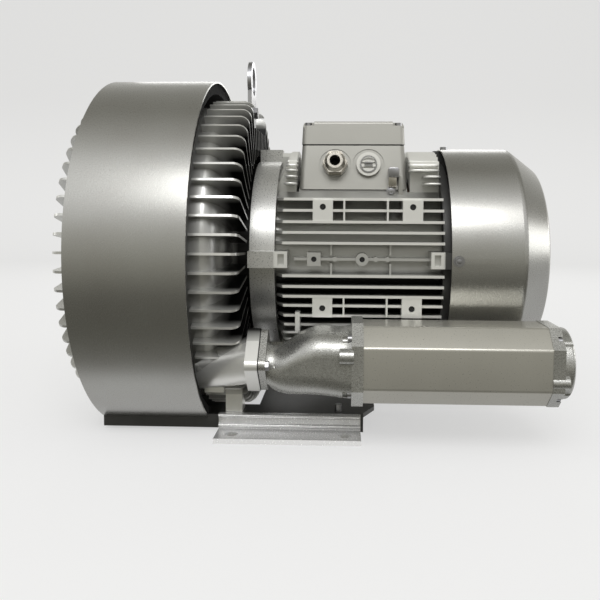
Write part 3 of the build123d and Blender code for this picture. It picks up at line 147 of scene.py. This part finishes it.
# windings under amber varnish
copperWire = metalFinish("varnished copper", "#9a4f26", "#7c3c1a", 0.3, 0.06, 0.9, 0.0012, 0.0002)
# dark paint of the base plate; on the silver shield behind the fan cover the same dark colour is painted shade
darkPlateAndShade = metalFinish("dark painted plate, and painted shade on the fan shield", "#4a4a49", "#3f3f3e", 0.45, 0.05, 0.3, 0.0008, 0.00003)


# unplated surface of one colour with a fine grain
def plainFinish(name, colour, rough, grain, bumpHeight):
    mat, tree, shader, place = newMaterial(name)
    fine = addNode(tree, "ShaderNodeTexNoise", {"Vector": place, "Scale": 1 / grain, "Detail": 3.0})
    bump = addNode(tree, "ShaderNodeBump", {"Height": fine.outputs["Fac"], "Distance": bumpHeight, "Strength": 1.0})
    shader.inputs["Base Color"].default_value = srgb(colour)
    shader.inputs["Roughness"].default_value = rough
    tree.links.new(bump.outputs[0], shader.inputs["Normal"])
    return mat


# open cell foam: coarse pores, nearly black
blackFoam = plainFinish("acoustic foam", "#0c0c0c", 0.95, 0.0018, 0.0008)
# gaskets and seals; the same black on discs in the threaded holes is painted shade
blackRubberAndHoleShade = plainFinish("moulded rubber", "#151515", 0.6, 0.001, 0.00003)
# cooling fan behind the cover
fanPlastic = plainFinish("glass filled plastic", "#1d1d1f", 0.5, 0.0012, 0.00005)
# terminal block
blockPlastic = plainFinish("phenolic moulding", "#2b211a", 0.4, 0.001, 0.00003)


# distance from the long axis of the machine
def axisDistance(tree, place):
    across = addNode(tree, "ShaderNodeVectorMath", {0: place, 1: (0, 1, 1), 2: (0, 0, -axisZ)},
                     operation="MULTIPLY_ADD")
    return addNode(tree, "ShaderNodeVectorMath", {0: across.outputs[0]}, operation="LENGTH").outputs["Value"]


finGrain = {"size": 0.0014, "height": 0.000007, "crestHighlightBlend": 0.0006}


# silver paint on cooling fins with painted light: a painted highlight on the crests, painted shade towards the roots,
# and darker painted shade in the roots past a set place along one axis
def finsWithPaintedLight(name, base, crest, root, metallic, rough, shade):
    mat, tree, shader, place = newMaterial(name)
    radius = axisDistance(tree, place)
    # darker towards the roots: painted shade
    depth = addNode(tree, "ShaderNodeMapRange", {"Value": radius, "From Min": root["radius"],
                                                 "From Max": crest["radius"]})
    # mask of the painted highlight on the crests
    edge = addNode(tree, "ShaderNodeMapRange", {"Value": radius, "From Min": crest["radius"],
                                                "From Max": crest["radius"] + finGrain["crestHighlightBlend"]})
    along = addNode(tree, "ShaderNodeSeparateXYZ", {0: place})
    shaded = addNode(tree, "ShaderNodeMapRange", {"Value": along.outputs[shade["axis"]], "From Min": shade["from"],
                                                  "From Max": shade["to"]})
    rootPaintedShade = mixColour(tree, shaded.outputs[0], srgb(root["colour"]), srgb(shade["colour"]))
    paint = mixColour(tree, depth.outputs[0], rootPaintedShade, srgb(base))
    tree.links.new(mixColour(tree, edge.outputs[0], paint, srgb(crest["colour"])), shader.inputs["Base Color"])
    fine = addNode(tree, "ShaderNodeTexNoise", {"Vector": place, "Scale": 1 / finGrain["size"], "Detail": 3.0})
    bump = addNode(tree, "ShaderNodeBump", {"Height": fine.outputs["Fac"], "Distance": finGrain["height"],
                                            "Strength": 1.0})
    tree.links.new(bump.outputs[0], shader.inputs["Normal"])
    shader.inputs["Metallic"].default_value = metallic
    shader.inputs["Roughness"].default_value = rough
    return mat


# motor fins: painted highlight on the crests, painted shade at the roots, darkest in the roots below the shaft
motorFins = finsWithPaintedLight("silver paint on motor fins", "#c9c9c5", {"radius": 0.1195, "colour": "#f4f4f0"},
                     {"radius": 0.1, "colour": "#b9b9b5"}, 0.6, 0.32,
                     {"axis": "Z", "from": axisZ - 0.012, "to": axisZ - 0.022, "colour": "#2c2c2b"})
# casing fins: painted highlight on the crests, painted shade at the roots, nearly black in the roots at the end next
# to the motor
drumFins = finsWithPaintedLight("silver paint on casing fins", "#d2d2ce", {"radius": 0.1862, "colour": "#f2f2ee"},
                    {"radius": 0.172, "colour": "#a2a2a0"}, 0.68, 0.3,
                    {"axis": "X", "from": -0.068, "to": -0.058, "colour": "#161616"})

finishes = {
    "casing_silver": silverFins, "cast_silver": silverCast, "sand_cast": sandCast, "sheet_silver": satinSheet,
    "foam_black": blackFoam, "steel_zinc": zincSteel, "steel_ground": groundSteel, "bearing_steel": groundSteel,
    "lamination": lamination, "copper": copperWire, "rubber_black": blackRubberAndHoleShade, "nickel": nickelBrass,
    "fan_plastic": fanPlastic, "block_plastic": blockPlastic, "extrusion": extruded,
    "rail_aluminium": millRail, "plate_dark": darkPlateAndShade, "plastic_plug": silverLid,
}
for part in frame["record"]["subparts"]:
    node = frame["nodes"][part["node"]]
    node.data.materials.clear()
    node.data.materials.append(finishes[part["material_slot"]])
# the fan shield takes the dark plate colour as painted shade behind the fan cover
# the terminal box takes the darker copy of the lid paint: painted shade
for name, finish in {"motor_frame": motorFins, "rear_casing": drumFins, "terminal_box": shadedBoxPaint,
                     "terminal_lid": silverLid, "drive_end_shield": smoothSand,
                     "fan_end_shield": darkPlateAndShade}.items():
    frame["nodes"][name].data.materials[0] = finish
print("materials", len(finishes))


# corners (across, up, radius) joined into one outline, each corner rounded by its radius
def roundedOutline(corners, steps=5):
    outline = []
    for k, (u, v, radius) in enumerate(corners):
        here = Vector((u, v))
        back = (Vector(corners[k - 1][:2]) - here).normalized()
        ahead = (Vector(corners[(k + 1) % len(corners)][:2]) - here).normalized()
        if not radius:
            outline.append((u, v))
            continue
        half = back.angle(ahead) / 2
        centre = here + (back + ahead).normalized() * radius / math.sin(half)
        start = here + back * radius / math.tan(half) - centre
        turn = -start.angle_signed(here + ahead * radius / math.tan(half) - centre)
        for i in range(steps + 1):
            outline.append(tuple(centre + Matrix.Rotation(turn * i / steps, 2) @ start))
    return outline


# solid with an outline for its section, from one place to another along X, Y or Z
def prism(mesh, outline, start, end, along="X"):
    def point(u, v, w):
        return {"X": (w, u, v), "Y": (u, w, v), "Z": (u, v, w)}[along]
    ends = [[mesh.verts.new(point(u, v, w)) for u, v in outline] for w in (start, end)]
    for loop in ends:
        mesh.faces.new(loop)
    for k in range(len(outline)):
        mesh.faces.new((ends[0][k - 1], ends[0][k], ends[1][k], ends[1][k - 1]))


# ring wall between two outlines that have as many points, from one place to another along X or Y
def hollowPrism(mesh, outer, inner, start, end, along="X"):
    def point(u, v, w):
        return (w, u, v) if along == "X" else (u, w, v)
    rings = [[mesh.verts.new(point(u, v, w)) for u, v in outline]
             for outline, w in ((outer, start), (outer, end), (inner, end), (inner, start))]
    for k in range(len(rings)):
        first, second = rings[k], rings[(k + 1) % len(rings)]
        for i in range(len(first)):
            mesh.faces.new((first[i - 1], first[i], second[i], second[i - 1]))


# points of a circle round a centre
def circleOutline(radius, centre, segments=32):
    angles = [2 * math.pi * k / segments for k in range(segments)]
    return [(centre[0] + radius * math.cos(a), centre[1] + radius * math.sin(a)) for a in angles]


# round solid with its axis along Y
def disc(mesh, radius, centre, start, end):
    prism(mesh, circleOutline(radius, centre), start, end, "Y")


# mesh made into an object that rides on the fixed parts; edge is the width of its softened corners
def makePiece(name, mesh, material, edge=0.0, smooth=30):
    bmesh.ops.recalc_face_normals(mesh, faces=mesh.faces)
    if edge:
        sharp = [e for e in mesh.edges if e.is_manifold and e.calc_face_angle() > math.radians(smooth)]
        bmesh.ops.bevel(mesh, geom=sharp, offset=edge, segments=2, profile=0.5, affect="EDGES",
                        material=-1)
    data = bpy.data.meshes.new(name)
    mesh.to_mesh(data)
    mesh.free()
    data.shade_smooth()
    data.set_sharp_from_angle(angle=math.radians(smooth))
    data.materials.append(material)
    piece = bpy.data.objects.new(name, data)
    scene.collection.objects.link(piece)
    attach(piece, "stator")
    return piece


# flat fins on the round shoulders of the motor: both sides of the terminal box, and below the side fins;
# rows are heights from the shaft, spans are stretches along it
shoulder = {
    "radius": 0.126, "thick": 0.0022, "corner": 0.006, "edge": 0.0005,
    "root": 0.061, "shortest": 0.004, "bellyRoot": 0.03,
    "driveSpan": (-0.008, 0.006), "fanSpan": (0.134, 0.1685), "shortFanSpan": (0.150, 0.1685),
    "bellySpan": (-0.010, 0.168), "shortBelow": 0.093,
    "rowsUp": (0.0836, 0.092, 0.0994, 0.1055, 0.110), "rowsDown": (-0.086, -0.095, -0.103, -0.110),
}
mesh = bmesh.new()
for row in shoulder["rowsUp"] + shoulder["rowsDown"]:
    tip = math.sqrt(shoulder["radius"] ** 2 - row ** 2)
    if row > 0:
        root = min(shoulder["root"], tip - shoulder["shortest"])
        fanSpan = shoulder["fanSpan"] if row > shoulder["shortBelow"] else shoulder["shortFanSpan"]
        spans = (shoulder["driveSpan"], fanSpan)
    else:
        root = shoulder["bellyRoot"]
        spans = (shoulder["bellySpan"],)
    under, over = (axisZ + row + side * shoulder["thick"] / 2 for side in (-1, 1))
    for left, right in spans:
        r = min(shoulder["corner"], (tip - root) * 0.6, (right - left) * 0.45)    # fits a short fin too
        for side in (-1, 1):
            prism(mesh, roundedOutline([(left, side * root, 0), (left, side * tip, r), (right, side * tip, r),
                                        (right, side * root, 0)]), under, over, "Z")
makePiece("shoulder_fins", mesh, motorFins, shoulder["edge"])
print("shoulder fins")

# earth clamp on the near wall of the terminal box: strap, body and the rib beside it, each with its stretch
# along X and Z, how far it stands out and the radius of its upper corners
clamp = {
    "wall": -0.0605, "foot": 0.0004, "edge": 0.0003,
    "strap": {"x": (0.1105, 0.1225), "z": (0.290, 0.301), "front": -0.073, "radius": 0.0022},
    "body": {"x": (0.111, 0.120), "z": (0.279, 0.2915), "front": -0.070, "radius": 0.0008},
    "rib": {"x": (0.1225, 0.1275), "z": (0.262, 0.292), "front": -0.0665, "radius": 0.0008},
}
# the rib on the box wall takes the box's darker paint, painted shade like the box
for name, finish, slot in (("strap", zincSteel, "steel_zinc"), ("body", nickelBrass, "nickel"),
                           ("rib", shadedBoxPaint, "cast_silver")):
    block = clamp[name]
    (x0, x1), (z0, z1) = block["x"], block["z"]
    mesh = bmesh.new()
    prism(mesh, roundedOutline([(x0, z0, clamp["foot"]), (x1, z0, clamp["foot"]), (x1, z1, block["radius"]),
                                (x0, z1, block["radius"])]), block["front"], clamp["wall"], "Y")
    makePiece("earth_clamp_" + name, mesh, finish, clamp["edge"])

# stud of the clamp on its collar
stud = {"centre": (0.114, 0.274), "radius": 0.0036, "front": -0.069, "collar": 1.5, "collarFront": -0.0635,
        "edge": 0.0004}
mesh = bmesh.new()
disc(mesh, stud["radius"], stud["centre"], stud["front"], clamp["wall"])
disc(mesh, stud["radius"] * stud["collar"], stud["centre"], stud["collarFront"], clamp["wall"])
makePiece("earth_clamp_stud", mesh, zincSteel, stud["edge"])
print("earth clamp")

# raised ring and double bar on the blanking plug
plug = {"x": 0.0878, "z": 0.3055, "outer": 0.0098, "inner": 0.0084, "front": -0.0642, "back": -0.0628,
        "segments": 48, "barHalf": 0.0048, "barRise": 0.0009, "barCorner": 0.0006, "gap": 0.0016}
mesh = bmesh.new()
outer, inner = (circleOutline(plug[size], (plug["x"], plug["z"]), plug["segments"]) for size in ("outer", "inner"))
hollowPrism(mesh, outer, inner, plug["back"], plug["front"], "Y")
for up in (-1, 1):
    z = plug["z"] + up * plug["gap"]
    bar = [(plug["x"] + i * plug["barHalf"], z + j * plug["barRise"], plug["barCorner"])
           for i, j in ((-1, -1), (1, -1), (1, 1), (-1, 1))]
    prism(mesh, roundedOutline(bar), plug["front"], plug["back"], "Y")
makePiece("plug_ring", mesh, zincSteel)

# black discs a little down the holes in the pads and bosses on both sides of the motor: painted shade of the deep
# holes
holes = {"padX": (0.0365, 0.135), "padRows": (0.0575, -0.0545), "padFace": 0.113, "bossX": (0.027, 0.080),
         "bossFace": 0.115, "radius": 0.0031, "deep": 0.0015}
mesh = bmesh.new()
places = [(x, axisZ + row, holes["padFace"]) for x in holes["padX"] for row in holes["padRows"]]
places += [(x, axisZ, holes["bossFace"]) for x in holes["bossX"]]
for x, z, face in places:
    for side in (-1, 1):
        front, back = side * (face - holes["deep"]), side * (face - 2 * holes["deep"])
        disc(mesh, holes["radius"], (x, z), min(front, back), max(front, back))
makePiece("painted_hole_shade", mesh, blackRubberAndHoleShade)

# domed head and washer of the screws that hold the fan cover
dome = {"x": 0.183, "reach": 0.129, "washer": 0.0062, "washerThick": 0.0012, "head": 0.0042, "crown": 0.0042,
        "shoulder": 0.00372, "steps": 32, "weld": 0.00001}
for side, word in ((-1, "near"), (1, "far")):
    mesh = bmesh.new()
    profile = [(0.0, dome["crown"]), (dome["head"] * 0.6, dome["shoulder"]), (dome["head"], dome["washerThick"]),
               (dome["washer"], dome["washerThick"]), (dome["washer"], 0.0), (0.0, 0.0)]
    line = [mesh.verts.new((dome["x"] + r, side * (dome["reach"] + h), axisZ)) for r, h in profile]
    edges = [mesh.edges.new((line[k], line[k + 1])) for k in range(len(line) - 1)]
    bmesh.ops.spin(mesh, geom=line + edges, cent=(dome["x"], 0, axisZ), axis=(0, 1, 0), angle=2 * math.pi,
                   steps=dome["steps"], use_merge=True)
    bmesh.ops.remove_doubles(mesh, verts=mesh.verts, dist=dome["weld"])
    makePiece("cover_screw_" + word, mesh, zincSteel)
print("small parts")

# the base plate runs on under the casing and the silencing band, with its long edges folded up
tail = {"front": -0.214, "back": -0.0805, "half": 0.103, "fold": 0.003, "low": 0.0035, "high": 0.019,
        "thick": 0.002, "edge": 0.0004}
mesh = bmesh.new()
inner, outer = tail["half"] - tail["fold"], tail["half"]
top = tail["low"] + tail["thick"]
prism(mesh, [(-outer, tail["low"]), (outer, tail["low"]), (outer, tail["high"]), (inner, tail["high"]),
             (inner, top), (-inner, top), (-inner, tail["high"]), (-outer, tail["high"])],
      tail["front"], tail["back"])
makePiece("base_plate_tail", mesh, darkPlateAndShade, tail["edge"])
print("base plate tail")

# silencer tubes: eight-sided extrusion with soft corners, its wall open at both ends
tube = {"y": 0.152, "z": 0.095, "wide": 0.082, "high": 0.080, "cut": 0.019, "wall": 0.003, "corner": 0.005,
        "start": 0.0803, "end": 0.266, "cutChange": 0.59}


# corners of the tube's section, moved inward by inset; cutChange keeps the wall even at the cut corners
def tubeSection(inset):
    w, h = tube["wide"] / 2 - inset, tube["high"] / 2 - inset
    cut, r = tube["cut"] - inset * tube["cutChange"], tube["corner"] - inset
    corners = [(-w, -h + cut), (-w + cut, -h), (w - cut, -h), (w, -h + cut), (w, h - cut), (w - cut, h),
               (-w + cut, h), (-w, h - cut)]
    return [(u, v, r) for u, v in corners]


for side, word in ((-1, "near"), (1, "far")):
    mesh = bmesh.new()
    outer, inner = ([(side * tube["y"] + u, tube["z"] + v) for u, v in roundedOutline(tubeSection(inset))]
                    for inset in (0.0, tube["wall"]))
    hollowPrism(mesh, outer, inner, tube["start"], tube["end"])
    piece = makePiece("shell_tube_" + word, mesh, extruded)
    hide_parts("silencer_tube_" + word)
print("silencer tubes")

# floor that curves up into the backdrop, lit evenly like a light table
floorMat, floorTree, floorShader, floorPlace = newMaterial("pale studio floor")
floorShader.inputs["Base Color"].default_value = srgb("#a8a8a8")
floorShader.inputs["Roughness"].default_value = 0.8
floorShader.inputs["Specular IOR Level"].default_value = 0.0
floorShader.inputs["Emission Color"].default_value = srgb("#f4f4f4")
floorShader.inputs["Emission Strength"].default_value = 0.58
mesh = bmesh.new()
sweep = {"near": -3.0, "far": 2.2, "rise": 3.5, "radius": 0.9, "halfWidth": 5.0, "steps": 16}
line = [(sweep["near"], 0.0), (sweep["far"], 0.0)]
for k in range(1, sweep["steps"] + 1):
    a = math.pi / 2 * k / sweep["steps"]
    line.append((sweep["far"] + sweep["radius"] * math.sin(a), sweep["radius"] * (1 - math.cos(a))))
line.append((sweep["far"] + sweep["radius"], sweep["rise"]))
rows = [[mesh.verts.new((x, y, z)) for y, z in line] for x in (-sweep["halfWidth"], sweep["halfWidth"])]
for k in range(len(line) - 1):
    mesh.faces.new((rows[0][k], rows[1][k], rows[1][k + 1], rows[0][k + 1]))
bmesh.ops.recalc_face_normals(mesh, faces=mesh.faces)
for face in mesh.faces:
    face.smooth = True
floorData = bpy.data.meshes.new("studio floor")
mesh.to_mesh(floorData)
mesh.free()
floorData.materials.append(floorMat)
floor = bpy.data.objects.new("studio floor", floorData)
scene.collection.objects.link(floor)
floor.visible_glossy = False     # the metal mirrors the graded studio light, not the light table
floor.visible_diffuse = False
print("floor")


# rectangular area lamp aimed at a point
def softbox(name, place, aim, width, height, power, colour="#ffffff"):
    lamp = bpy.data.lights.new(name, "AREA")
    lamp.shape = "RECTANGLE"
    lamp.size, lamp.size_y = width, height
    lamp.energy = power
    lamp.color = srgb(colour)[:3]
    obj = bpy.data.objects.new(name, lamp)
    obj.location = place
    obj.rotation_euler = (Vector(aim) - Vector(place)).to_track_quat("-Z", "Y").to_euler()
    scene.collection.objects.link(obj)
    return obj


softbox("key", (0.06, -1.66, 1.66), (0.03, 0.0, 0.2), 1.25, 0.78, 16)
softbox("rim", (0.0, 1.9, 1.0), (0.03, 0.0, 0.2), 1.6, 0.6, 6)
softbox("window", (2.3, 0.35, 0.5), (0.1, 0.0, 0.2), 1.1, 0.55, 6)
softbox("left fill", (-2.2, -0.3, 0.7), (-0.1, 0.0, 0.2), 1.0, 0.6, 3)

# studio light graded round the long axis of the machine: degrees up from the front, over the top, to the back,
# with its brightness and its warmth
studioLight = [(-180, 0.80, 0.3), (-135, 0.62, 0.0), (-86, 0.75, 0.0), (-74, 0.24, 0.5), (-50, 0.12, 1.0),
               (-24, 0.12, 1.0), (-4, 0.36, 0.8), (16, 0.62, 0.4), (30, 0.95, 0.0), (58, 1.05, 0.0), (76, 0.58, 0.3),
               (104, 0.24, 0.8), (130, 0.36, 0.5), (160, 0.80, 0.2), (180, 0.80, 0.3)]
world = bpy.data.worlds.new("studio")
scene.world = world
world.use_nodes = True
sky = world.node_tree
background = sky.nodes["Background"]
towards = addNode(sky, "ShaderNodeSeparateXYZ", {0: sky.nodes.new("ShaderNodeTexCoord").outputs["Generated"]})
front = addNode(sky, "ShaderNodeMath", {0: towards.outputs["Y"], 1: -1.0}, operation="MULTIPLY")
turn = addNode(sky, "ShaderNodeMath", {0: towards.outputs["Z"], 1: front.outputs[0]}, operation="ARCTAN2")
along = addNode(sky, "ShaderNodeMapRange", {"Value": turn.outputs[0], "From Min": -math.pi, "From Max": math.pi})
grade = addNode(sky, "ShaderNodeValToRGB", {"Fac": along.outputs[0]})
for k, (angle, level, warmth) in enumerate(studioLight):
    stop = grade.color_ramp.elements[k] if k < 2 else grade.color_ramp.elements.new(1.0)
    stop.position = (angle + 180) / 360
    stop.color = (level, level * (1 - 0.03 * warmth), level * (1 - 0.2 * warmth), 1)
seen = addNode(sky, "ShaderNodeLightPath")
sky.links.new(mixColour(sky, seen.outputs["Is Camera Ray"], grade.outputs[0], srgb("#eaeaea")), background.inputs[0])
background.inputs[1].default_value = 1.0
scene.view_settings.view_transform = "Standard"
print("lights")

# camera square to the near side, a little above the shaft
shot = {"place": (0.0594, -0.8463, 0.2543), "turn": (85.898, -0.314, 2.070), "sensor": 36, "lens": 40.13,
        "shift": (-0.0325, -0.0736), "nearest": 0.01}
camera = bpy.data.cameras.new("camera")
camera.sensor_width = shot["sensor"]
camera.lens = shot["lens"]
camera.shift_x, camera.shift_y = shot["shift"]
camera.clip_start = shot["nearest"]
cameraObject = bpy.data.objects.new("camera", camera)
cameraObject.location = shot["place"]
cameraObject.rotation_euler = [math.radians(a) for a in shot["turn"]]
scene.collection.objects.link(cameraObject)
scene.camera = cameraObject
print("camera")
